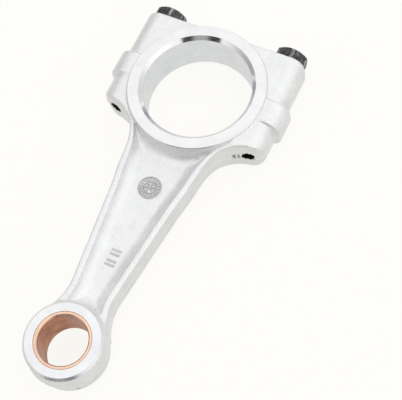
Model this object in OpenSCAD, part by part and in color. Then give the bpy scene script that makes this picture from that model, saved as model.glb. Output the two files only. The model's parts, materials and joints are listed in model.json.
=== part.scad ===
// Connecting rod with a bolted bearing cap and a pressed-in small-end bush.
// Millimetres. +Z runs along both bores, +Y from the small end to the cap.
// Origin: centre of the big-end bore, half way through its width.

/* [Overall] */
// Distance between the two bore centres
centre_distance = 118; // [112:0.5:126]
// Width of the machined big-end faces
big_width = 20; // [19.4:0.1:22]
// Width of the machined small-end faces
small_width = 17; // [16:0.1:19]

/* [Big end] */
// Crankpin bore diameter
big_bore = 46; // [45:0.1:47]
// Outer diameter of the machined ring
big_ring = 58.5; // [58:0.1:59.4]
// Chamfer at both mouths of the crankpin bore
big_chamfer = 1.5; // [0.5:0.1:1.8]
// Distance between the two bolt axes
bolt_spacing = 57; // [56.4:0.1:57.8]
// Gap left at the split between rod and cap
split_gap = 0.04; // [0.02:0.01:0.1]

/* [Bolt lugs] */
// Radius of the lug around each bolt
lug_radius = 8.5; // [8.2:0.05:9]
// Height of the bolt seat above the split
seat_height = 27.8; // [27:0.1:28.4]
// Depth of the lug below the split
lug_depth = 16.87; // [16.5:0.01:17.2]
// Height of the thicker band on the cap, above the split
band_height_cap = 6; // [4:0.1:7]
// Height of the thicker band on the rod, below the split
band_height_rod = 4.8; // [3:0.1:6]
// How far the band stands out past the lug
band_step = 2.3; // [1:0.05:2.4]
// Radius of the curve from the lug down to the beam
throat_radius = 18; // [17:0.1:19]

/* [Beam] */
// Half width of the beam at its big end
beam_half_top = 16.2; // [15.8:0.1:16.6]
// Half width of the beam at its small end
beam_half_bottom = 8.9; // [8.6:0.1:9.2]
// Half thickness of the flanges
beam_half_thick = 5.8; // [5.2:0.1:6.2]
// Extra half width at the mould line
beam_draft = 0.5; // [0.2:0.05:0.8]
// Width of each flange top
flange_width = 2.4; // [2:0.1:3]
// Half thickness of the web
web_half_thick = 2.2; // [1.8:0.1:2.6]

/* [Small end] */
// Gudgeon pin bore diameter
small_bore = 20; // [19.5:0.1:20.5]
// Outside diameter of the bush
bush_outer = 23; // [22.6:0.1:23.6]
// Outer diameter of the machined small-end ring
small_ring = 29.6; // [29:0.1:30.2]
// Diameter of the cast boss at the mould line
small_boss = 32.8; // [32.2:0.1:33.4]

/* [Bolts] */
// Nominal bolt diameter
bolt_dia = 8; // [7.8:0.05:8.1]
// Hexagon size across flats
bolt_flats = 13; // [12.6:0.1:13.4]
// Height of the bolt head
bolt_head = 5.3; // [4.6:0.1:6]
// Length under the head
bolt_length = 42; // [38:0.5:43]
// Thread pitch
bolt_pitch = 1.25; // [1:0.25:1.5]

/* [Hidden] */
$fn = 96;
lug_flat = 1.5;
rb = big_bore / 2;
ro = big_ring / 2;
bw = big_width / 2;
sw = small_width / 2;
bx = bolt_spacing / 2;
small_y = -centre_distance;
lug_x = bx + lug_radius;
band_x = lug_x + band_step;
band_r = lug_radius + 0.5;
throat_x = beam_half_top + throat_radius;
throat_y = -lug_depth - throat_radius;
beam_top_y = throat_y + 1;
beam_bot_y = small_y + 18.5;
beam_taper = (beam_half_top - beam_half_bottom) / (beam_top_y - beam_bot_y);
boss_r = small_boss / 2;
flare_r = 24;
cast_white = [0.80, 0.81, 0.82];
bronze = [0.72, 0.48, 0.34];
black_steel = [0.16, 0.16, 0.17];

// Half width of the beam at height y, at the flange top
function beam_half(y) = beam_half_top + beam_taper * (y - beam_top_y);
// Half thickness of the body at height y: flange, then rising to the lug
function smooth(t) = t <= 0 ? 0 : t >= 1 ? 1 : t * t * (3 - 2 * t);
function half_thick(y) = beam_half_thick
    + (lug_radius - beam_half_thick) * smooth((y - throat_y) / (throat_radius * 0.8));

// ---------- flat outlines ----------

// Rounded rectangle from x0,y0 to x1,y1
module round_rect(x0, y0, x1, y1, r) {
    for (x = [x0 + r, x1 - r]) for (y = [y0 + r, y1 - r]) translate([x, y]) circle(r);
    translate([x0 + r, y0]) square([x1 - x0 - 2 * r, y1 - y0]);
    translate([x0, y0 + r]) square([x1 - x0, y1 - y0 - 2 * r]);
}

// Lug cross-section: flat faces with a nearly round end at each bolt
module lug_section(cx, r) {
    round_rect(-cx - r, -r, cx + r, r, r - lug_flat);
}

// Neck between the two throat curves
module neck_outline() {
    difference() {
        translate([-lug_x + 3.5, throat_y]) square([2 * (lug_x - 3.5), throat_radius + 0.01]);
        for (s = [-1, 1]) translate([s * throat_x, throat_y]) circle(throat_radius, $fn = 160);
    }
}

// Flare of the beam into the small-end boss
module flare_outline() {
    d = boss_r + flare_r;
    cx = beam_half_bottom + 0.25 + flare_r;
    cy = small_y + sqrt(d * d - cx * cx);
    tx = cx * boss_r / d;
    ty = small_y + (cy - small_y) * boss_r / d;
    difference() {
        polygon([[-tx, ty], [tx, ty], [cx - flare_r + 0.2, cy], [-cx + flare_r - 0.2, cy]]);
        for (s = [-1, 1]) translate([s * cx, cy]) circle(flare_r, $fn = 160);
    }
}

// ---------- solids shared by rod and cap ----------

// Machined ring around the crankpin bore, whole circle
module big_ring_solid() {
    rotate_extrude($fn = 180) polygon([
        [rb, -bw + big_chamfer], [rb + big_chamfer, -bw], [ro - 0.4, -bw], [ro, -bw + 0.4],
        [ro, bw - 0.4], [ro - 0.4, bw], [rb + big_chamfer, bw], [rb, bw - big_chamfer]]);
}

// Prism along Y from y0 to y1 with the lug cross-section
module along_y(y0, y1) {
    translate([0, y1, 0]) rotate([90, 0, 0]) linear_extrude(y1 - y0) children();
}

// Room for the crankpin: the bore and its two chamfers
module bore_room() {
    cylinder(h = 2 * bw + 10, r = rb, center = true, $fn = 180);
    for (s = [0, 1]) mirror([0, 0, s]) translate([0, 0, bw - big_chamfer])
        cylinder(h = big_chamfer + 2, r1 = rb, r2 = rb + big_chamfer + 2, $fn = 180);
}

// ---------- beam ----------

module beam_plan(extra) {
    a = beam_half_top + extra;
    b = beam_half_bottom + extra;
    polygon([[-a, beam_top_y], [a, beam_top_y], [b, beam_bot_y], [-b, beam_bot_y]]);
}

// Drafted slab of the beam, widest at the mould line
module beam_slab() {
    hull() {
        translate([0, 0, -beam_half_thick]) linear_extrude(2 * beam_half_thick) beam_plan(0);
        translate([0, 0, -0.3]) linear_extrude(0.6) beam_plan(beam_draft);
    }
}

// Side view of the neck, from flange thickness up to lug thickness
module neck_side() {
    n = 14;
    y0 = throat_y - 0.25;
    y1 = -4;
    top = [for (i = [0 : n]) let (y = y0 + (y1 - y0) * i / n) [y, half_thick(y)]];
    bot = [for (i = [n : -1 : 0]) let (y = y0 + (y1 - y0) * i / n) [y, -half_thick(y)]];
    polygon(concat(top, bot));
}

// Pocket in one side: floor, round fillets, then open walls
pocket_rim = beam_half_thick - web_half_thick;
ring_fillet = 5;
function dip(r, h) = h >= r ? 0 : r - sqrt(r * r - (r - h) * (r - h));
function side_in(z) = z > beam_half_thick ? -(z - beam_half_thick) * 0.18
    : dip(pocket_rim, z - web_half_thick);
function side_half(y, z) = beam_half(y) - flange_width - side_in(z);
function top_r(z) = ro - 0.05 + dip(ring_fillet, z - web_half_thick);
function bot_r(z) = boss_r - 0.5 + dip(pocket_rim, z - web_half_thick);
// Where the pocket side meets the arc of radius r around y = c, above (1) or below (-1) it
function meet_y(c, r, dir, z, y, k) = k == 0 ? y
    : meet_y(c, r, dir, z, c + dir * sqrt(r * r - pow(side_half(y, z), 2)), k - 1);
function pocket_ring(z, m) =
    let (rt = top_r(z), rl = bot_r(z),
         yt = meet_y(0, rt, -1, z, -26, 12), yb = meet_y(small_y, rl, 1, z, small_y + 16, 12),
         at = asin(side_half(yt, z) / rt), ab = asin(side_half(yb, z) / rl))
    concat([for (i = [0 : m]) let (a = -at + 2 * at * i / m) [rt * sin(a), -rt * cos(a), z]],
           [for (i = [0 : m]) let (a = ab - 2 * ab * i / m) [rl * sin(a), small_y + rl * cos(a), z]]);
module pocket() {
    m = 12;
    n = 2 * (m + 1);
    lev = [0, 0.03, 0.12, 0.27, 0.48, 0.72, 1];
    zs = concat([for (t = lev) web_half_thick + pocket_rim * t],
        [web_half_thick + ring_fillet, bw + 3]);
    k = len(zs);
    pts = concat([for (z = zs) each pocket_ring(z, m)],
        [[0, -centre_distance / 2, zs[0]], [0, -centre_distance / 2, zs[k - 1]]]);
    walls = [for (j = [0 : k - 2]) for (i = [0 : n - 1])
        [j * n + i, j * n + (i + 1) % n, (j + 1) * n + (i + 1) % n, (j + 1) * n + i]];
    tris = [for (q = walls) each [[q[0], q[1], q[2]], [q[0], q[2], q[3]]]];
    floor_faces = [for (i = [0 : n - 1]) [(i + 1) % n, i, n * k]];
    roof_faces = [for (i = [0 : n - 1]) [(k - 1) * n + i, (k - 1) * n + (i + 1) % n, n * k + 1]];
    polyhedron(points = pts, faces = concat(tris, floor_faces, roof_faces));
}

// Cast boss of the small end with its machined rings
module small_boss_solid() {
    translate([0, small_y, 0]) rotate_extrude($fn = 144) polygon([
        [0, -sw], [small_ring / 2, -sw], [small_ring / 2 + 1, -sw + 1], [boss_r, 0],
        [small_ring / 2 + 1, sw - 1], [small_ring / 2, sw], [0, sw]]);
}

// Round mark raised from the web: a ring, short ticks and a centre pip
module web_mark() {
    y = -centre_distance * 0.392;
    z0 = web_half_thick - 0.3;
    translate([0, y, z0]) difference() {
        cylinder(h = 0.7, r = 5, $fn = 64);
        translate([0, 0, -1]) cylinder(h = 3, r = 4.6, $fn = 64);
    }
    translate([0, y, z0]) difference() {
        cylinder(h = 0.7, r = 2.7, $fn = 48);
        translate([0, 0, -1]) cylinder(h = 3, r = 2.3, $fn = 48);
    }
    for (a = [0 : 30 : 330]) translate([0, y, z0]) rotate([0, 0, a])
        translate([3.3, -0.25, 0]) cube([0.8, 0.5, 0.7]);
    translate([0, y, z0]) cylinder(h = 0.7, r = 0.7, $fn = 24);
}

// Two pairs of short bars further down the web
module web_bars() {
    for (y = [-centre_distance * 0.65, -centre_distance * 0.69])
        for (s = [-1, 1]) translate([0.8, y + s * 0.75, web_half_thick - 0.3]) {
            translate([-1, -0.35, 0]) cube([2, 0.7, 0.65]);
            for (e = [-1, 1]) translate([e, 0, 0]) cylinder(h = 0.65, r = 0.35, $fn = 24);
        }
}

// Tapped hole in a lug, its drill point just breaking out underneath
module tapped_hole() {
    translate([0, 1, 0]) rotate([90, 0, 0]) cylinder(h = 16, r = bolt_dia / 2, $fn = 64);
    translate([0, -14.9, 0]) rotate([90, 0, 0]) cylinder(h = 2, r = bolt_dia * 0.425, $fn = 64);
    translate([0, -16.89, 0]) rotate([90, 0, 0])
        cylinder(h = bolt_dia * 0.255, r1 = bolt_dia * 0.425, r2 = 0.02, $fn = 64);
}

// ---------- nodes ----------

module rod() color(cast_white) {
    difference() {
        union() {
            difference() {
                union() {
                    beam_slab();
                    translate([0, 0, -beam_half_thick]) linear_extrude(2 * beam_half_thick)
                        flare_outline();
                    intersection() {
                        translate([0, 0, -lug_radius]) linear_extrude(2 * lug_radius)
                            neck_outline();
                        rotate([90, 0, 90]) translate([0, 0, -lug_x]) linear_extrude(2 * lug_x)
                            neck_side();
                        along_y(throat_y - 1, 0) lug_section(bx, lug_radius);
                    }
                }
                pocket();
                mirror([0, 0, 1]) pocket();
            }
            // lugs under the split
            intersection() {
                along_y(-lug_depth, 0) lug_section(bx, lug_radius);
                translate([0, 0, -lug_radius]) linear_extrude(2 * lug_radius)
                    round_rect(-lug_x, -lug_depth, lug_x, lug_depth, 3.5);
            }
            // joint band
            intersection() {
                along_y(-band_height_rod, 0) lug_section(band_x - band_r, band_r);
                translate([0, 0, -band_r]) linear_extrude(2 * band_r)
                    round_rect(-band_x, -band_height_rod, band_x, band_height_rod, 1.2);
            }
            big_ring_solid();
            small_boss_solid();
            web_mark();
            web_bars();
        }
        bore_room();
        // everything above the split
        translate([-60, -split_gap / 2, -30]) cube([120, 60, 60]);
        for (s = [-1, 1]) translate([s * bx, 0, 0]) tapped_hole();
        // seat of the bush
        translate([0, small_y, 0]) cylinder(h = sw * 2 + 2, r = bush_outer / 2, center = true, $fn = 144);
    }
}

module cap() color(cast_white) {
    difference() {
        union() {
            intersection() {
                along_y(0, seat_height) lug_section(bx, lug_radius);
                translate([0, 0, -lug_radius]) linear_extrude(2 * lug_radius)
                    round_rect(-lug_x, -seat_height, lug_x, seat_height, 3.2);
            }
            intersection() {
                along_y(0, band_height_cap) lug_section(band_x - band_r, band_r);
                translate([0, 0, -band_r]) linear_extrude(2 * band_r)
                    round_rect(-band_x, -band_height_cap, band_x, band_height_cap, 1.2);
            }
            big_ring_solid();
        }
        bore_room();
        // everything below the split
        translate([-60, -60 + split_gap / 2, -30]) cube([120, 60, 60]);
        for (s = [-1, 1]) translate([s * bx, seat_height + 1, 0]) rotate([90, 0, 0])
            cylinder(h = seat_height + 2, r = bolt_dia / 2 + 0.2, $fn = 64);
    }
}

module bush() color(bronze) translate([0, small_y, 0]) {
    rotate_extrude($fn = 144) polygon([
        [small_bore / 2, -sw + 0.4], [small_bore / 2 + 0.4, -sw], [bush_outer / 2, -sw],
        [bush_outer / 2, sw], [small_bore / 2 + 0.4, sw], [small_bore / 2, sw - 0.4]]);
}

// Hexagon bolt along -Y, head seated on y = 0
module hex_bolt() rotate([-90, 0, 0]) {
    r = bolt_dia / 2 - 0.07;
    core = r - bolt_pitch * 0.5;
    len_thread = 14;
    n = floor(len_thread / bolt_pitch);
    // head with a bevelled top edge
    intersection() {
        translate([0, 0, 0.4]) rotate([0, 0, 36])
            cylinder(h = bolt_head - 0.4, r = bolt_flats / sqrt(3), $fn = 6);
        rotate_extrude($fn = 96) polygon([
            [0, 0.3], [bolt_flats * 0.6, 0.3], [bolt_flats * 0.6, bolt_head - 0.95],
            [bolt_flats * 0.475, bolt_head], [0, bolt_head]]);
    }
    // washer face, plain shank and ridged end
    rotate_extrude($fn = 96) polygon(concat(
        [[0, -bolt_length], [core - 0.6, -bolt_length], [core, -bolt_length + 0.6]],
        [for (i = [0 : n - 1]) each [
            [core, -bolt_length + 0.7 + i * bolt_pitch],
            [r, -bolt_length + 0.7 + (i + 0.42) * bolt_pitch],
            [r, -bolt_length + 0.7 + (i + 0.58) * bolt_pitch]]],
        [[core, -bolt_length + 0.7 + n * bolt_pitch],
         [r, -bolt_length + 1.6 + n * bolt_pitch],
         [r, 0], [bolt_flats * 0.46, 0], [bolt_flats * 0.46, 0.5], [0, 0.5]]));
}

module bolt_left() color(black_steel) translate([-bx, seat_height, 0]) hex_bolt();

module bolt_right() color(black_steel) translate([bx, seat_height, 0]) hex_bolt();

rod();
cap();
bush();
bolt_left();
bolt_right();
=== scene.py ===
import json
import math

import bmesh
import bpy
import numpy as np
from mathutils import Matrix, Vector


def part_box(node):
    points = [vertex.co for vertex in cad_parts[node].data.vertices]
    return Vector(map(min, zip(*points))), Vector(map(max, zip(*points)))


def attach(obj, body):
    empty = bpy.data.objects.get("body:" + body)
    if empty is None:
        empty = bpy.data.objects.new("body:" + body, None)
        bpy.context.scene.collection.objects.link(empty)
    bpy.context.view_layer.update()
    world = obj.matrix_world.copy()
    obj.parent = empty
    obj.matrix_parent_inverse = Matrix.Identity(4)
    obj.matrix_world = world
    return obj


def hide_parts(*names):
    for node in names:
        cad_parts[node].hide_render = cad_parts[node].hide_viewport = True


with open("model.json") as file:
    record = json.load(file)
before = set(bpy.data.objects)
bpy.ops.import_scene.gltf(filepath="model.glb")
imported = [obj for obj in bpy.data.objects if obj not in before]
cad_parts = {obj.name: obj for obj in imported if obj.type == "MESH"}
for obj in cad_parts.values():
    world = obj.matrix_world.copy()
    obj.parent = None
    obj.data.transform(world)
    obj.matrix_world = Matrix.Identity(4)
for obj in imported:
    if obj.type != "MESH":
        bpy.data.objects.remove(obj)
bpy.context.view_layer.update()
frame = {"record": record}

# Visual model of the connecting rod. Shapes are worked out in millimetres in the
# frame's own axes and turned into metres when a mesh is made.

MM = 0.001
STEP = 0.42    # grid step of the cast surfaces


def box_mm(node):
    lo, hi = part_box(node)
    return np.array(lo) / MM, np.array(hi) / MM


# ---------------------------------------------------------------- sizes from the frame
mounts = {m["name"]: m for m in frame["record"]["mounts"]}
bore_r = mounts["big_end_bore"]["dims"]["r_mm"]
pin_r = mounts["small_end_bore"]["dims"]["r_mm"]
small_y = mounts["small_end_bore"]["pos_m"][1] / MM
rod_lo, rod_hi = box_mm("rod")
cap_lo, cap_hi = box_mm("cap")
bush_lo, bush_hi = box_mm("bush")
bolt_lo, bolt_hi = box_mm("bolt_right")

ring_r = cap_hi[1]                    # machined ring of the big end
ring_half = cap_hi[2]
band_x = cap_hi[0]                    # outside of the joint band
split = cap_lo[1]                     # half of the gap between rod and cap
boss_r = small_y - rod_lo[1]          # cast boss of the small end
small_half = bush_hi[2]
bush_r = (bush_hi[0] - bush_lo[0]) / 2
bolt_x = (bolt_lo[0] + bolt_hi[0]) / 2
head_h = 5.3                          # height of a bolt head with its washer face
seat_y = bolt_hi[1] - head_h          # where the bolt heads sit
flats = 13.0                          # across the hexagon

lug_r = 8.5                           # half thickness of the lugs
lug_flat = 1.5                        # half width of the flat on their ends
lug_x = bolt_x + lug_r
lug_low = -16.87                      # underside of the rod's lugs
throat_r = 18.0                       # hollow curve from lug to beam
neck_x = 31.8                         # how far out that curve is followed
beam_top = 16.2                       # half width of the beam at its big end
beam_low = 8.9                        # and at its small end
throat_x = beam_top + throat_r
throat_y = lug_low - throat_r
band_top = 6.0                        # the joint band's two edges along Y
band_low = -4.8
beam_z = 5.8                          # half thickness of the flanges
web_z = 2.2                           # half thickness of the web
flange = 2.85                         # width of a flange at the low end
pocket_fillet = 5.0
pocket_top = -21.5
draft = 0.5                           # how far the mould line stands out
face_r = 14.8                         # machined face of the small end
room_r = 28.35                        # castings bored out for the big end's turned ring
small_room_r = 14.7                   # and for the small end's
cheek_z = 8.72                        # castings end just past the big ring's shoulder
small_cheek_z = 7.42                  # and under the small ring's chamfer
tap_r, drill_r, clear_r = 4.02, 3.4, 4.22     # bolt holes: thread, drill, through hole
nick_x, nick_y = 25.9, -20.4          # between the two nicks by the right opening

beam_top_y = throat_y + 1.0           # where the straight taper starts
beam_length = beam_top_y - small_y - 18.5
taper = (beam_top - beam_low) / beam_length
lean = math.atan(taper)


# ---------------------------------------------------------------- distance fields
def hyp(a, b):
    return np.sqrt(a * a + b * b)


def ramp(t):
    t = np.clip(t, 0.0, 1.0)
    return t * t * (3.0 - 2.0 * t)


def cut(a, b, r):
    """What is inside both, with the edge between them rounded to radius r."""
    return np.minimum(np.maximum(a, b), -r) + hyp(np.maximum(a + r, 0.0), np.maximum(b + r, 0.0))


def join(a, b, r):
    """What is inside either, with a fillet of radius r between them."""
    return np.maximum(np.minimum(a, b), r) - hyp(np.maximum(r - a, 0.0), np.maximum(r - b, 0.0))


def beam_half(y):
    return beam_top + taper * (y - beam_top_y)


# Flare of the beam into the small-end boss: an arc that touches the beam's side and the boss
flare_r = 24.0
reach = boss_r - 0.3 + flare_r
low_y, high_y = small_y, small_y + reach
for _ in range(50):
    mid_y = (low_y + high_y) / 2
    gap = math.hypot(beam_half(mid_y) + flare_r / math.cos(lean), mid_y - small_y) - reach
    low_y, high_y = (mid_y, high_y) if gap < 0 else (low_y, mid_y)
flare_y = (low_y + high_y) / 2
flare_x = beam_half(flare_y) + flare_r / math.cos(lean)
flare_top = flare_y + flare_r * math.sin(lean)
throat_low = throat_y + throat_r * math.sin(lean)


def outline(ax, y):
    """Signed distance to the plan of beam, neck and flare."""
    beam = (ax - beam_half(y)) * math.cos(lean)
    neck = np.maximum(throat_r - hyp(ax - throat_x, y - throat_y), ax - neck_x)
    ux, uy = flare_x / reach, (flare_y - small_y) / reach
    below = ax * uy - (y - small_y) * ux
    flare = np.maximum(flare_r - hyp(ax - flare_x, y - flare_y), below)
    # a slight swelling of the beam below the throat
    swell = 0.5 * ramp((y + 54.0) / 12.0) * ramp((-22.0 - y) / 9.0)
    return np.where(y > throat_low, neck, np.where(y > flare_top, beam, flare)) - swell


def thickness(y):
    """Half thickness, growing from the flanges to the lugs through the throat."""
    t = np.clip((y - throat_y + 1.0) / (throat_r + 1.0), 0.0, 1.0)
    return beam_z + (lug_r - beam_z) * t ** 1.7


def unevenness(x, y, z):
    """The slight waviness of a sand-finished casting, in mm."""
    return 0.028 * np.sin(0.83 * x + 0.31 * y + 1.3 * z) * np.sin(0.57 * y - 0.42 * x + 0.7) \
        + 0.016 * np.sin(1.71 * y + 0.9 * z + 0.4) * np.sin(1.43 * x - 0.6 * y)


def flash(az):
    """The thin raised line left where the mould's halves met."""
    return 0.16 * np.exp(-(az / 0.40) ** 2)


def mould_lean(az, half):
    """How far a side stands out at az, from the draft of the mould's halves."""
    return draft * np.clip(1.0 - az / half, 0.0, 1.0)


def lug_section(ax, az, reach_x, r):
    """Lug cross-section: flat faces and a nearly round end, out to reach_x."""
    past_x = np.maximum(ax - reach_x + r - lug_flat, 0.0)
    return hyp(past_x, np.maximum(az - lug_flat, 0.0)) - r + lug_flat


def band_field(ax, y, z, end):
    """Joint band: end is the signed distance past its free edge."""
    r = lug_r + 0.5 * ramp((ax - 24.0) / 7.0)
    return cut(lug_section(ax, np.abs(z), band_x, r), end, 0.7)


def rod_holes(x, y, z):
    """Tapped holes, and their drill points breaking out under the lugs."""
    ax = np.abs(x)
    hole = hyp(ax - bolt_x, z)
    wobble = 0.30 * np.sin(2.6 * x + 1.1) * np.sin(2.2 * z + 0.5 + 0.3 * x)
    thread = np.maximum(hole - tap_r, -15.0 - y)
    drill = np.maximum(hole - drill_r, -17.2 - y)
    breakout = hyp((ax - 30.2) * 0.96, (z - 0.4) * 1.12) - 2.7 + wobble
    point = np.maximum(breakout + 0.6 * (-17.3 - y), np.abs(y + 18.0) - 2.4)
    return np.minimum(np.minimum(thread, drill), point)


def cap_holes(x, y, z):
    return hyp(np.abs(x) - bolt_x, z) - clear_r


def tool_nicks(x, y, z, side):
    """Two small nicks beside the right opening."""
    across = np.abs(np.abs(x - nick_x) - 0.85) - 0.42
    deep = np.maximum(np.abs(z - 0.2) - 1.5, -1.1 - side)
    return np.maximum(np.maximum(across, deep), np.abs(y - nick_y) - 2.6)


def rod_field(x, y, z):
    ax, az = np.abs(x), np.abs(z)
    rad, small_rad = hyp(x, y), hyp(x, y - small_y)
    thick = thickness(y)
    side = outline(ax, y)
    body = cut(side - mould_lean(az, thick) - flash(az), az - thick, 0.8)
    body = np.maximum(body, lug_section(ax, az, lug_x, lug_r) - flash(az))
    # pocket in both faces: it follows the sides up into the neck
    lean_in = 0.16 * (az - web_z)
    walls = side + flange - 0.5 * ramp((y + 42.0) / 22.0) - lean_in
    pocket = cut(cut(walls, ring_r - 5.0 - rad, 1.0), y - pocket_top, 3.0)
    pocket = cut(pocket, boss_r - 0.4 - small_rad - lean_in, 3.0)
    body = cut(body, -cut(pocket, web_z - az, pocket_fillet), 0.5)
    # lugs under the split
    low = cut(ax - lug_x - 0.9, lug_low - y, 6.5) - mould_lean(az, lug_r) - flash(az)
    body = np.minimum(body, cut(lug_section(ax, az, lug_x, lug_r) - flash(az), low, 0.6))
    body = join(body, band_field(ax, y, z, band_low - y), 0.5)
    # ring and boss under the machined faces, the ring with a deep cove over the pocket
    cove = 0.7 + 4.6 * ramp((0.4 - walls) / 3.8) * ramp((-17.0 - y) / 6.0)
    body = join(body, cut(rad - ring_r + 0.03, az - cheek_z, 0.02), cove)
    slope = boss_r - 0.1 - 0.5 * az / 7.5 - 0.65 * ramp(-z / 3.0)
    body = join(body, cut(small_rad - slope - flash(az), az - small_cheek_z, 0.05), 1.6)
    body = body + unevenness(x, y, z)
    # cut away: rooms for the turned rings, tapped holes, nicks
    body = np.maximum(body, room_r - rad)
    body = np.maximum(body, small_room_r - small_rad)
    return np.maximum(body, -np.minimum(rod_holes(x, y, z), tool_nicks(x, y, z, side)))


def cap_field(x, y, z):
    ax, az = np.abs(x), np.abs(z)
    rad = hyp(x, y)
    top = cut(ax - lug_x - 0.9, y - seat_y, 3.9)
    body = cut(lug_section(ax, az, lug_x, lug_r) - flash(az), top, 0.7)
    body = join(body, band_field(ax, y, z, y - band_top), 0.2)
    body = join(body, cut(rad - ring_r + 0.03, az - cheek_z, 0.02), 0.7)
    body = body + unevenness(x, y, z)
    body = np.maximum(body, room_r - rad)
    hole = cap_holes(x, y, z)
    countersink = 0.35 * (0.68 - hole) + 0.35 * (y - seat_y)
    return np.maximum(body, np.maximum(-hole, countersink))


# ---------------------------------------------------------------- meshes
def make_object(name, verts_mm, faces, body, materials):
    mesh = bpy.data.meshes.new(name)
    mesh.from_pydata((np.asarray(verts_mm, float) * MM).tolist(), [], faces)
    mesh.update()
    obj = bpy.data.objects.new(name, mesh)
    bpy.context.scene.collection.objects.link(obj)
    for m in materials:
        mesh.materials.append(m)
    mesh.shade_smooth()
    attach(obj, body)
    return obj


def gradient(field, p, eps):
    g = np.empty_like(p)
    for i in range(3):
        d = np.zeros(3)
        d[i] = eps
        a, b = p + d, p - d
        g[:, i] = field(a[:, 0], a[:, 1], a[:, 2]) - field(b[:, 0], b[:, 1], b[:, 2])
    return g / (2 * eps)


def surface_nets(field, lo, hi, h):
    """One point in each grid cell that the surface field = 0 runs through, at the mean of
    its crossings of the cell's edges, and a quad round each crossed grid edge."""
    lo = np.array([(math.floor(v / h) - 0.5) * h for v in lo])
    n = np.ceil((np.array(hi) - lo) / h).astype(int) + 2
    gx, gy, gz = (lo[i] + h * np.arange(n[i]) for i in range(3))
    v = np.asarray(field(gx[:, None, None], gy[None, :, None], gz[None, None, :]), np.float32)
    inside = v < 0
    count = np.zeros(n - 1, np.int8)
    corners = [(a, b, c) for a in (0, 1) for b in (0, 1) for c in (0, 1)]
    for a, b, c in corners:
        count += inside[a:n[0] - 1 + a, b:n[1] - 1 + b, c:n[2] - 1 + c]
    cells = np.argwhere((count > 0) & (count < 8))
    value = {k: v[cells[:, 0] + k[0], cells[:, 1] + k[1], cells[:, 2] + k[2]] for k in corners}
    total, hits = np.zeros((len(cells), 3)), np.zeros(len(cells))
    for k0 in corners:
        for axis in range(3):
            if k0[axis]:
                continue
            k1 = tuple(1 if i == axis else k0[i] for i in range(3))
            crosses = (value[k0] < 0) != (value[k1] < 0)
            t = np.where(crosses, value[k0] / np.where(crosses, value[k0] - value[k1], 1.0), 0.0)
            p = np.array(k0, float)[None, :].repeat(len(cells), 0)
            p[:, axis] += t
            total += p * crosses[:, None]
            hits += crosses
    points = lo + h * (cells + total / hits[:, None])
    index = np.full(n - 1, -1, np.int64)
    index[cells[:, 0], cells[:, 1], cells[:, 2]] = np.arange(len(cells))
    faces = []
    for axis in range(3):
        b, c = (axis + 1) % 3, (axis + 2) % 3
        first = np.take(inside, range(n[axis] - 1), axis)
        change = np.argwhere(first != np.take(inside, range(1, n[axis]), axis))
        change = change[(change[:, b] > 0) & (change[:, c] > 0)]
        ring = []
        for db, dc in ((1, 1), (0, 1), (0, 0), (1, 0)):
            q = change.copy()
            q[:, b] -= db
            q[:, c] -= dc
            ring.append(index[q[:, 0], q[:, 1], q[:, 2]])
        quads = np.stack(ring, 1)
        outward = first[change[:, 0], change[:, 1], change[:, 2]]
        faces.append(np.where(outward[:, None], quads, quads[:, ::-1]))
    return points, np.concatenate(faces)


def polygonise(whole, side, lo, hi, h):
    """Closed quad mesh of the surface where whole is 0, ended by the split on the given
    side (1 or -1), and its normals."""
    plane = side * split

    def field(x, y, z):
        return np.maximum(whole(x, y, z), side * (plane - y))

    points, faces = surface_nets(field, lo, hi, h)
    # three steps down the gradient bring the points onto the surface
    for _ in range(3):
        g = gradient(field, points, 0.03)
        f = field(points[:, 0], points[:, 1], points[:, 2])
        move = f / np.maximum((g * g).sum(1), 0.3)
        points = points - np.clip(move, -0.3 * h, 0.3 * h)[:, None] * g
    # sharp edge along the split: these points lie on both the plane and the outer surface
    outer = whole(points[:, 0], points[:, 1], points[:, 2])
    rim = (np.abs(points[:, 1] - plane) < 0.6 * h) & (np.abs(outer) < 0.6 * h)
    edge = points[rim]
    edge[:, 1] = plane
    for _ in range(4):
        g = gradient(whole, edge, 0.03)
        g[:, 1] = 0.0
        f = whole(edge[:, 0], edge[:, 1], edge[:, 2])
        edge -= np.clip(f / np.maximum((g * g).sum(1), 0.3), -h, h)[:, None] * g
    points[rim] = edge
    normals = gradient(field, points, 0.10)
    normals[rim] = gradient(whole, edge, 0.10)
    normals /= np.maximum(np.linalg.norm(normals, axis=1), 1e-6)[:, None]
    return points, faces, normals


def casting(name, field, holes, side, lo, hi, body, materials):
    """Cast piece, with the second material, a near-black painted shade, on the walls of its holes."""
    points, faces, normals = polygonise(field, side, lo, hi, STEP)
    obj = make_object(name, points, faces.tolist(), body, materials)
    centre = points[faces].mean(axis=1)
    # faces in the holes get the near-black painted shade
    in_hole = holes(centre[:, 0], centre[:, 1], centre[:, 2]) < 0.12
    obj.data.polygons.foreach_set("material_index", in_hole.astype(np.int32))
    obj.data.normals_split_custom_set_from_vertices(normals.tolist())
    return obj


def crisp(obj, degrees=24.0):
    """Sharp where faces meet at more than the angle."""
    bm = bmesh.new()
    bm.from_mesh(obj.data)
    bmesh.ops.recalc_face_normals(bm, faces=bm.faces)
    for e in bm.edges:
        if len(e.link_faces) == 2:
            e.smooth = e.calc_face_angle() < math.radians(degrees)
    bm.to_mesh(obj.data)
    bm.free()
    return obj


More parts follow.
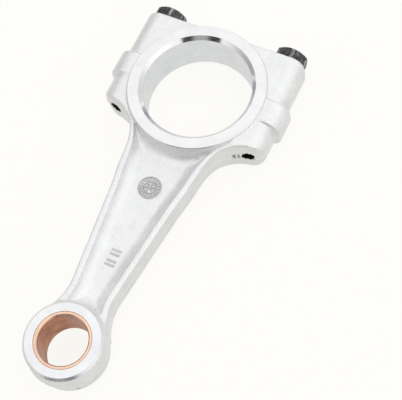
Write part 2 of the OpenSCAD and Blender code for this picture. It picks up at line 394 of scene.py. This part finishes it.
def lathe(name, profile, start, end, steps, centre_y, body, materials, paint, clip=None):
    """Closed turned solid about an axis along Z. profile is a closed loop of (r, z);
    paint gives each band of faces its material; clip keeps y on one side of the split."""
    full = abs(end - start) > 359.9
    turns = steps if full else steps + 1
    verts, faces, bands = [], [], []
    for i in range(turns):
        a = math.radians(start + (end - start) * i / steps)
        for r, z in profile:
            y = centre_y + r * math.sin(a)
            if clip:
                y = clip(y)
            verts.append((r * math.cos(a), y, z))
    k = len(profile)
    for i in range(steps):
        for j in range(k):
            a, b = i * k, ((i + 1) % turns) * k
            faces.append((a + j, b + j, b + (j + 1) % k, a + (j + 1) % k))
            bands.append(paint[j])
    if not full:
        faces += [tuple(range(k)), tuple(reversed(range((turns - 1) * k, turns * k)))]
        bands += [0, 0]
    obj = make_object(name, verts, faces, body, materials)
    obj.data.polygons.foreach_set("material_index", bands)
    return crisp(obj)


# ---------------------------------------------------------------- materials
class NodeTree:
    """A few helpers for building a node tree."""

    def __init__(self, tree, coords):
        self.tree = tree
        self.coords = tree.nodes.new("ShaderNodeTexCoord").outputs[coords]

    def node(self, kind, **values):
        n = self.tree.nodes.new(kind)
        for key, value in values.items():
            if hasattr(n, key):
                setattr(n, key, value)
            else:
                n.inputs[key.replace("_", " ")].default_value = value
        return n

    def link(self, a, b):
        self.tree.links.new(a, b)

    def noise(self, size_mm, detail=3.0, rough=0.55):
        n = self.node("ShaderNodeTexNoise", Scale=1.0 / (size_mm * MM), Detail=detail, Roughness=rough)
        self.link(self.coords, n.inputs["Vector"])
        return n.outputs["Fac"]

    def math(self, op, a, b=None):
        n = self.tree.nodes.new("ShaderNodeMath")
        n.operation = op
        for i, v in enumerate((a, b)):
            if v is None:
                continue
            if isinstance(v, (int, float)):
                n.inputs[i].default_value = v
            else:
                self.link(v, n.inputs[i])
        return n.outputs[0]

    def remap(self, value, a, b, c, d):
        n = self.node("ShaderNodeMapRange", From_Min=a, From_Max=b, To_Min=c, To_Max=d)
        self.link(value, n.inputs["Value"])
        return n.outputs["Result"]

    def mix(self, fac, a, b):
        n = self.tree.nodes.new("ShaderNodeMix")
        n.data_type = "RGBA"
        ins = [i for i in n.inputs if i.type == "RGBA"]
        for socket, v in zip(ins, (a, b)):
            if isinstance(v, tuple):
                socket.default_value = v + (1.0,)
            else:
                self.link(v, socket)
        self.link(fac, n.inputs[0])
        return [o for o in n.outputs if o.type == "RGBA"][0]

    def axes(self):
        n = self.tree.nodes.new("ShaderNodeSeparateXYZ")
        self.link(self.coords, n.inputs[0])
        return n.outputs

    def radius(self, centre_y):
        """Distance from an axis along Z through (0, centre_y), in metres."""
        x, y, _ = self.axes()
        y = self.math("SUBTRACT", y, centre_y * MM)
        return self.math("SQRT", self.math("ADD", self.math("MULTIPLY", x, x),
                                           self.math("MULTIPLY", y, y)))


class Shader(NodeTree):
    """A principled material painted in the object's own coordinates."""

    def __init__(self, name):
        self.mat = bpy.data.materials.new(name)
        self.mat.use_nodes = True
        super().__init__(self.mat.node_tree, "Object")
        self.bsdf = self.tree.nodes["Principled BSDF"]

    def bump(self, height, depth_mm, strength):
        n = self.node("ShaderNodeBump", Strength=strength, Distance=depth_mm * MM)
        self.link(height, n.inputs["Height"])
        old = self.bsdf.inputs["Normal"]
        if old.links:
            self.link(old.links[0].from_socket, n.inputs["Normal"])
        self.link(n.outputs["Normal"], old)

    def set(self, **values):
        for key, value in values.items():
            socket = self.bsdf.inputs[key.replace("_", " ")]
            if isinstance(value, bpy.types.NodeSocket):
                self.link(value, socket)
            else:
                socket.default_value = value
        return self.mat


def cast_material(name, offset, dark=(0.83, 0.83, 0.828), light=(0.93, 0.93, 0.925)):
    """Sand-finished casting with a painted highlight along the mould line; offset keeps two castings
    unalike.
    """
    s = Shader(name)
    shift = s.node("ShaderNodeVectorMath", operation="ADD")
    shift.inputs[1].default_value = (offset, 0.0, 0.0)
    s.link(s.coords, shift.inputs[0])
    s.coords = shift.outputs[0]
    broad, medium, fine = s.noise(9.0, 3.0), s.noise(1.5, 4.0, 0.6), s.noise(0.42, 2.0)
    tone = s.math("ADD", s.math("MULTIPLY", broad, 0.55), s.math("MULTIPLY", medium, 0.45))
    colour = s.mix(s.remap(tone, 0.38, 0.64, 0.0, 1.0), dark, light)
    colour = s.mix(s.remap(fine, 0.54, 0.72, 0.0, 0.75), colour, (0.66, 0.66, 0.655))
    # painted highlight: the colour turns nearly white within 0.6 mm of the mould line at z = 0,
    # standing in for the light the flash ridge catches
    off_line = s.math("ABSOLUTE", s.axes()[2])
    colour = s.mix(s.remap(off_line, 0.2 * MM, 0.6 * MM, 0.9, 0.0), colour, (0.97, 0.97, 0.965))
    rough = s.math("ADD", s.remap(medium, 0.3, 0.7, 0.40, 0.52),
                   s.remap(broad, 0.3, 0.7, -0.03, 0.05))
    s.bump(fine, 0.045, 0.8)
    s.bump(medium, 0.090, 0.6)
    return s.set(Base_Color=colour, Metallic=0.80, Roughness=rough)


def turned_material(name, centre_y, pitch_mm, tone_a, tone_b, rough_a, rough_b, metal=1.0):
    """Lathe-turned metal: fine rings round the axis, with slow changes in tone."""
    s = Shader(name)
    ring = s.node("ShaderNodeCombineXYZ")
    s.link(s.radius(centre_y), ring.inputs[0])
    s.link(s.axes()[2], ring.inputs[1])
    lines = s.node("ShaderNodeTexNoise", Scale=1.0 / (pitch_mm * MM), Detail=3.0, Roughness=0.6)
    s.link(ring.outputs[0], lines.inputs["Vector"])
    lines = lines.outputs["Fac"]
    broad, fine = s.noise(6.0, 3.0), s.noise(0.7, 3.0)
    tone = s.math("ADD", s.math("MULTIPLY", lines, 0.5), s.math("MULTIPLY", broad, 0.5))
    colour = s.mix(s.remap(tone, 0.38, 0.62, 0.0, 1.0), tone_a, tone_b)
    rough = s.math("ADD", s.remap(lines, 0.3, 0.7, rough_a, rough_b),
                   s.remap(fine, 0.3, 0.7, -0.02, 0.03))
    s.bump(lines, 0.006, 0.6)
    return s.set(Base_Color=colour, Metallic=metal, Roughness=rough)


def oxide_material():
    """Black oxide, streaked along the bolt and scuffed where "wear" is painted."""
    s = Shader("black_oxide")
    medium, fine = s.noise(1.8, 4.0), s.noise(0.35, 3.0)
    wear = s.node("ShaderNodeAttribute", attribute_name="wear").outputs["Fac"]
    scuff = s.math("MULTIPLY", wear, s.remap(s.noise(0.9, 5.0, 0.7), 0.42, 0.56, 0.0, 1.0))
    colour = s.mix(s.remap(medium, 0.35, 0.65, 0.0, 1.0),
                   (0.035, 0.035, 0.035), (0.10, 0.10, 0.098))
    stretch = s.node("ShaderNodeVectorMath", operation="MULTIPLY")
    stretch.inputs[1].default_value = (1.0, 0.12, 1.0)
    s.link(s.coords, stretch.inputs[0])
    drawn = s.node("ShaderNodeTexNoise", Scale=1.0 / (0.9 * MM), Detail=3.0, Roughness=0.6)
    s.link(stretch.outputs[0], drawn.inputs["Vector"])
    streaks = s.remap(drawn.outputs["Fac"], 0.56, 0.70, 0.0, 0.8)
    colour = s.mix(streaks, colour, (0.30, 0.31, 0.33))
    colour = s.mix(scuff, colour, (0.50, 0.50, 0.51))
    s.bump(fine, 0.02, 0.35)
    rough = s.remap(fine, 0.3, 0.7, 0.26, 0.42)
    return s.set(Base_Color=colour, Metallic=0.75, Roughness=rough)


rod_cast = cast_material("cast_rod", 0.0)
cap_cast = cast_material("cast_cap", 0.37)
# near-black hole walls: painted shade standing in for the dark inside the bolt holes and drill
# breakouts
hole_shade = turned_material("hole_painted_shade", 0.0, 0.4, (0.010, 0.010, 0.010), (0.045, 0.045, 0.045),
                          0.5, 0.7, 0.5)
# darker grey for the raised marks: painted shade standing in for the shading among their small strokes
mark_painted_shade = cast_material("mark_painted_shade", 0.11, (0.56, 0.56, 0.558), (0.70, 0.70, 0.695))
turned_big = turned_material("turned_big_end", 0.0, 0.28, (0.79, 0.79, 0.79), (0.87, 0.87, 0.87),
                             0.24, 0.36)
turned_bore = turned_material("ground_bore", 0.0, 0.16, (0.82, 0.835, 0.87), (0.91, 0.925, 0.955),
                              0.18, 0.26)
chamfer_cut = turned_material("chamfer_cut", 0.0, 0.5, (0.86, 0.86, 0.865), (0.92, 0.92, 0.925),
                              0.09, 0.14)
chamfer_small = turned_material("chamfer_small_end", small_y, 0.5, (0.84, 0.84, 0.845),
                                (0.91, 0.91, 0.915), 0.26, 0.34)
turned_small = turned_material("turned_small_end", small_y, 0.25, (0.76, 0.77, 0.785),
                               (0.87, 0.875, 0.885), 0.22, 0.34)
bronze_face = turned_material("bronze_face", small_y, 0.22, (0.84, 0.56, 0.40), (0.93, 0.67, 0.51),
                              0.24, 0.36)
# much darker copy of the bronze for the pin bore: painted shade inside the bush
bronze_bore_painted_shade = turned_material("bronze_bore_painted_shade", small_y, 0.5, (0.32, 0.105, 0.052), (0.62, 0.29, 0.165),
                              0.28, 0.42)
oxide = oxide_material()

# ---------------------------------------------------------------- castings
margin = 1.2                          # room round the CAD box for the surface search
rod_shell = casting("rod_casting", rod_field, rod_holes, -1, rod_lo - margin, rod_hi + margin,
                    "rod", [rod_cast, hole_shade])
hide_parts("rod")
cap_shell = casting("cap_casting", cap_field, cap_holes, 1, cap_lo - margin, cap_hi + margin,
                    "cap", [cap_cast, hole_shade])
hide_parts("cap")

# ---------------------------------------------------------------- machined rings
chamfer = 1.5
broken = 0.3                          # broken outer edges of the ring
shoulder_r = room_r + 0.05            # the ring's waist inside the casting
ring_profile = [(bore_r, -ring_half + chamfer), (bore_r + chamfer, -ring_half),
                (ring_r - broken, -ring_half), (ring_r, -ring_half + broken), (ring_r, -8.7),
                (shoulder_r, -8.55), (shoulder_r, 8.55), (ring_r, 8.7),
                (ring_r, ring_half - broken), (ring_r - broken, ring_half),
                (bore_r + chamfer, ring_half), (bore_r, ring_half - chamfer)]
ring_paint = [3, 1, 1, 0, 0, 0, 0, 0, 1, 1, 3, 2]
lathe("rod_ring", ring_profile, 180.0, 360.0, 150, 0.0, "rod",
      [rod_cast, turned_big, turned_bore, chamfer_cut], ring_paint, lambda y: min(y, -split))
lathe("cap_ring", ring_profile, 0.0, 180.0, 150, 0.0, "cap",
      [cap_cast, turned_big, turned_bore, chamfer_cut], ring_paint, lambda y: max(y, split))
small_waist_r = small_room_r + 0.05
front_chamfer, back_chamfer = 1.0, 0.35
small_profile = [(bush_r, -small_half), (face_r, -small_half),
                 (face_r + back_chamfer, -small_half + back_chamfer),
                 (small_waist_r, -7.2), (small_waist_r, 6.6),
                 (face_r + front_chamfer, small_half - front_chamfer),
                 (face_r, small_half), (bush_r, small_half)]
lathe("small_end_ring", small_profile, 0.0, 360.0, 220, small_y, "rod",
      [turned_small, chamfer_small], [0, 1, 0, 0, 0, 1, 0, 0])

# ---------------------------------------------------------------- bush
lip = 0.4                             # chamfer of the pin bore
rim = 0.25                            # chamfer of the outside
sleeve_r = bush_r - 0.02
bush_profile = [(pin_r, -small_half + lip), (pin_r + lip, -small_half),
                (bush_r - rim, -small_half), (sleeve_r, -small_half + rim),
                (sleeve_r, small_half - rim), (bush_r - rim, small_half),
                (pin_r + lip, small_half), (pin_r, small_half - lip)]
sleeve = lathe("bush_sleeve", bush_profile, 0.0, 360.0, 200, small_y, "rod",
               [bronze_face, bronze_bore_painted_shade], [0, 0, 0, 0, 0, 0, 0, 1])
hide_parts("bush")


# ---------------------------------------------------------------- raised marks on the web
def relief(name, cx, cy, half_x, half_y, height, step):
    """Raised cast mark: a closed patch whose top stands out of the web by height(x, y)."""
    nx, ny = int(2 * half_x / step) + 1, int(2 * half_y / step) + 1
    xs = np.linspace(-half_x, half_x, nx)
    ys = np.linspace(-half_y, half_y, ny)
    gx, gy = np.meshgrid(xs, ys, indexing="ij")
    sunk = web_z - 0.10
    top = sunk + height(gx, gy)
    top[0, :] = top[-1, :] = top[:, 0] = top[:, -1] = sunk
    upper = np.stack([cx + gx, cy + gy, top], -1).reshape(-1, 3)
    lower = upper.copy()
    lower[:, 2] = web_z - 0.35
    ids = np.arange(nx * ny).reshape(nx, ny)
    quads = np.stack([ids[:-1, :-1], ids[1:, :-1], ids[1:, 1:], ids[:-1, 1:]], -1).reshape(-1, 4)
    faces = quads.tolist() + (quads[:, ::-1] + nx * ny).tolist()
    rim = np.concatenate([ids[:, 0], ids[-1, 1:], ids[-2::-1, -1], ids[0, -2:0:-1]])
    for a, b in zip(rim, np.roll(rim, -1)):
        faces.append((int(b), int(a), int(a) + nx * ny, int(b) + nx * ny))
    obj = make_object(name, np.concatenate([upper, lower]), faces, "rod", [mark_painted_shade])
    crisp(obj, 60.0)


def stroke(distance, half_width):
    """Height of a raised line at a distance from its middle."""
    return 0.58 * (1.0 - ramp((distance - half_width + 0.10) / 0.22))


def round_mark(x, y):
    """Two rings with ticks between them, round a six-armed star."""
    r, a = hyp(x, y), np.arctan2(y, x)
    rim = stroke(np.abs(r - 4.72), 0.24)
    inner = stroke(np.abs(r - 2.55), 0.16)
    n = 18
    off = (a * n / (2 * math.pi)) % 1.0 - 0.5
    beside = np.abs(off) * 2 * math.pi / n * r - 0.02
    ticks = stroke(np.maximum(beside, np.abs(r - 3.65) - 0.28), 0.22)
    arm = np.abs((a * 3 / math.pi + 0.25) % 1.0 - 0.5) * math.pi / 3 * r
    star = stroke(np.maximum(arm, r - 1.75), 0.20)
    return np.maximum.reduce([rim, inner, ticks, star, 0.12 * (r < 4.7)])


def bar_pair(x, y):
    """Two short bars with round ends, side by side."""
    past_end = np.maximum(np.abs(x) - 1.7, 0.0)
    return np.maximum(*(stroke(hyp(past_end, y - s * 0.90), 0.44) for s in (-1, 1)))


# how far down the rod the marks sit, as shares of the way to the small end
ROUND_AT, BARS_AT = 0.392, (0.650, 0.690)
mark_step = 0.11
relief("round_mark", 0.0, ROUND_AT * small_y, 5.2, 5.2, round_mark, mark_step)
for i, share in enumerate(BARS_AT):
    relief("bar_mark_%d" % (i + 1), 0.2, share * small_y, 2.5, 1.7, bar_pair, mark_step)


# ---------------------------------------------------------------- bolts
hex_turn = math.radians(36.0)
shank_r, pitch, thread_depth = 3.93, 1.25, 0.62
shank_length = bolt_hi[1] - head_h - bolt_lo[1]
thread_top = -shank_length + 15.5     # measured along the bolt from its seat, as w is below
washer_h = 0.45                       # washer face under the hexagon


def bolt_rows(a, hexagon):
    """The bolt's outline as (radii at the angles a, w) rows, from its point to its head."""
    rows = [(shank_r - 1.2, -shank_length), (shank_r - 0.75, -shank_length)]
    w = -shank_length + 0.55
    while w < thread_top:
        phase = (w / pitch - a / (2 * math.pi)) % 1.0
        tooth = np.clip(np.abs(phase - 0.5) * 2.6 - 0.25, 0.0, 1.0)
        crest = shank_r - (0.75 - 0.75 * ramp((w + shank_length) / 1.2))
        fade = ramp((thread_top - w) / 1.5) * (crest > shank_r - 0.7)
        rows.append((crest - thread_depth * tooth * fade, w))
        w += pitch / 8
    rows += [(shank_r, thread_top + 0.5), (shank_r, -1.2), (shank_r, 0.0)]
    # washer face, hexagon with its chamfered corners, dished top
    edge = np.minimum(head_h - 0.95 + (flats * 0.6 - hexagon) * 0.585, head_h - 0.05)
    rows += [(flats * 0.46, 0.0), (flats * 0.46, washer_h),
             (hexagon - 0.12, washer_h), (hexagon, washer_h + 0.17), (hexagon, 2.4),
             (hexagon, edge - 0.25), (hexagon, edge),
             (flats * 0.475, head_h), (flats * 0.40, head_h), (flats * 0.36, head_h - 0.25)]
    return [np.broadcast_arrays(r, w, a)[:2] for r, w in rows]


def bolt(name, cx, node, body):
    """Hexagon bolt with a helical thread, its axis along Y and its head on the seat."""
    n = 72
    a = np.arange(n) * 2 * math.pi / n
    face = (a - hex_turn) % (math.pi / 3) - math.pi / 6
    hexagon = np.minimum(flats / 2 / np.cos(face), flats / math.sqrt(3) - 0.10)
    rows = bolt_rows(a, hexagon)
    verts = []
    for r, w in rows:
        verts += np.stack([cx + r * np.cos(a), seat_y + w, -r * np.sin(a)], 1).tolist()
    k = len(rows)
    faces = [(j * n + i, j * n + (i + 1) % n, (j + 1) * n + (i + 1) % n, (j + 1) * n + i)
             for j in range(k - 1) for i in range(n)]
    verts += [[cx, seat_y - shank_length, 0.0], [cx, seat_y + head_h - 0.25, 0.0]]
    faces += [(i, k * n, (i + 1) % n) for i in range(n)]
    faces += [((k - 1) * n + (i + 1) % n, k * n + 1, (k - 1) * n + i) for i in range(n)]
    obj = make_object(name, verts, faces, body, [oxide])
    crisp(obj, 20.0)
    # wear on the head's corners and most of all round its top edge
    wear = obj.data.attributes.new("wear", "FLOAT", "POINT")
    from_corner = np.abs((a - hex_turn + math.pi / 6) % (math.pi / 3) - math.pi / 6)
    worn = np.zeros(len(verts))
    for j in range(k - 7, k - 2):
        worn[j * n:(j + 1) * n] = 0.75 * (from_corner < 0.10)
    worn[(k - 4) * n:(k - 3) * n] = 0.9
    wear.data.foreach_set("value", worn)
    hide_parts(node)


bolt("bolt_left_steel", -bolt_x, "bolt_left", "bolt_left")
bolt("bolt_right_steel", bolt_x, "bolt_right", "bolt_right")

# ---------------------------------------------------------------- stage
WALL, CEILING, RIGHT_GLOW, LEFT_SHADE = 0.74, 1.14, 0.20, 0.58
GAP_AT, GAP_HALF = -78.0, 31.0        # azimuth of the dark gap and half its width, degrees
FLOOR_GLOW, FLOOR_SEEN = 0.69, 0.90   # its own light as the object gets it and as it is seen
GAP_LOW, GAP_HIGH = 0.10, 0.66        # sine of the elevations between which it lies
SKY_SEEN = 0.98                       # what the camera sees past the floor's edge
FLOOR_DROP = 0.2                      # mm below the part, so that no faces share a plane

floor_mesh = bpy.data.meshes.new("floor")
bm = bmesh.new()
bmesh.ops.create_grid(bm, x_segments=1, y_segments=1, size=6.0)
bm.to_mesh(floor_mesh)
bm.free()
floor = bpy.data.objects.new("floor", floor_mesh)
floor.location.z = -(ring_half + FLOOR_DROP) * MM
bpy.context.scene.collection.objects.link(floor)
paper = Shader("paper")
seen = paper.node("ShaderNodeLightPath").outputs["Is Camera Ray"]
paper.set(Base_Color=(0.09, 0.09, 0.09, 1.0), Roughness=0.9,
          Emission_Color=(0.99, 0.98, 0.945, 1.0),
          Emission_Strength=paper.remap(seen, 0.0, 1.0, FLOOR_GLOW, FLOOR_SEEN))
floor_mesh.materials.append(paper.mat)

# Studio: a bright ceiling that falls off to grey walls, lighter to the right, with one
# dark gap low in front, which is what the turned chamfers mirror
world = bpy.data.worlds.new("studio")
world.use_nodes = True
bpy.context.scene.world = world
sky = NodeTree(world.node_tree, "Generated")
to_x, to_y, to_z = sky.axes()


def smooth_step(value, a, b, c=0.0, d=1.0):
    n = sky.node("ShaderNodeMapRange", interpolation_type="SMOOTHSTEP", From_Min=a, From_Max=b,
                 To_Min=c, To_Max=d)
    sky.link(value, n.inputs["Value"])
    return n.outputs["Result"]


def towards(x, y, z):
    """Cosine of the angle to a direction."""
    v = Vector((x, y, z)).normalized()
    level = sky.math("ADD", sky.math("MULTIPLY", to_x, v.x), sky.math("MULTIPLY", to_y, v.y))
    return sky.math("ADD", level, sky.math("MULTIPLY", to_z, v.z))


level_up = smooth_step(to_z, 0.05, 0.80, WALL, CEILING)
glow = smooth_step(towards(0.75, 0.10, 0.65), 0.80, 0.98, 0.0, RIGHT_GLOW)
shade_left = smooth_step(to_x, -0.98, -0.35, LEFT_SHADE, 1.0)
light = sky.math("ADD", sky.math("MULTIPLY", level_up, shade_left), glow)
gap_x, gap_y = math.cos(math.radians(GAP_AT)), math.sin(math.radians(GAP_AT))
along = sky.math("ADD", sky.math("MULTIPLY", to_x, gap_x), sky.math("MULTIPLY", to_y, gap_y))
across = sky.math("ABSOLUTE", sky.math("SUBTRACT", sky.math("MULTIPLY", to_y, gap_x),
                                       sky.math("MULTIPLY", to_x, gap_y)))
half_width = sky.math("MULTIPLY", along, math.tan(math.radians(GAP_HALF)))
past_edge = sky.math("SUBTRACT", across, half_width)
gap = sky.math("MULTIPLY", smooth_step(past_edge, -0.02, 0.04, 1.0, 0.0),
               sky.math("MULTIPLY", smooth_step(to_z, GAP_LOW - 0.05, GAP_LOW + 0.05),
                        smooth_step(to_z, GAP_HIGH - 0.03, GAP_HIGH + 0.03, 1.0, 0.0)))
# less dark in its middle, as if something pale stood there
gap_depth = smooth_step(across, 0.10, 0.26, 0.60, 0.95)
light = sky.math("MULTIPLY", light, sky.math("SUBTRACT", 1.0, sky.math("MULTIPLY", gap, gap_depth)))
background = world.node_tree.nodes["Background"]
seen = sky.node("ShaderNodeLightPath").outputs["Is Camera Ray"]
light = sky.math("MAXIMUM", light, sky.math("MULTIPLY", seen, SKY_SEEN))
background.inputs["Color"].default_value = (0.985, 0.99, 1.0, 1.0)
sky.link(light, background.inputs["Strength"])

# ---------------------------------------------------------------- camera
# Fitted to the outlines of the rings, bores and bush. Metres in the frame's axes.
EYE = Vector((0.1382, -0.1833, 0.3847))
AIM = Vector((0.0210, -0.0424, 0.0))
ROLL = math.radians(15.65)            # the picture's turn about the line of sight
camera_data = bpy.data.cameras.new("camera")
camera_data.sensor_fit = "HORIZONTAL"
camera_data.sensor_width = 36.0
camera_data.lens = 94.96
camera = bpy.data.objects.new("camera", camera_data)
forward = (AIM - EYE).normalized()
level = forward.cross(Vector((0.0, 0.0, 1.0))).normalized()
upright = level.cross(forward)
right = level * math.cos(ROLL) - upright * math.sin(ROLL)
up = right.cross(forward)
facing = Matrix((right, up, -forward)).transposed()
camera.matrix_world = Matrix.Translation(EYE) @ facing.to_4x4()
bpy.context.scene.collection.objects.link(camera)
bpy.context.scene.camera = camera
bpy.context.scene.view_settings.view_transform = "Standard"
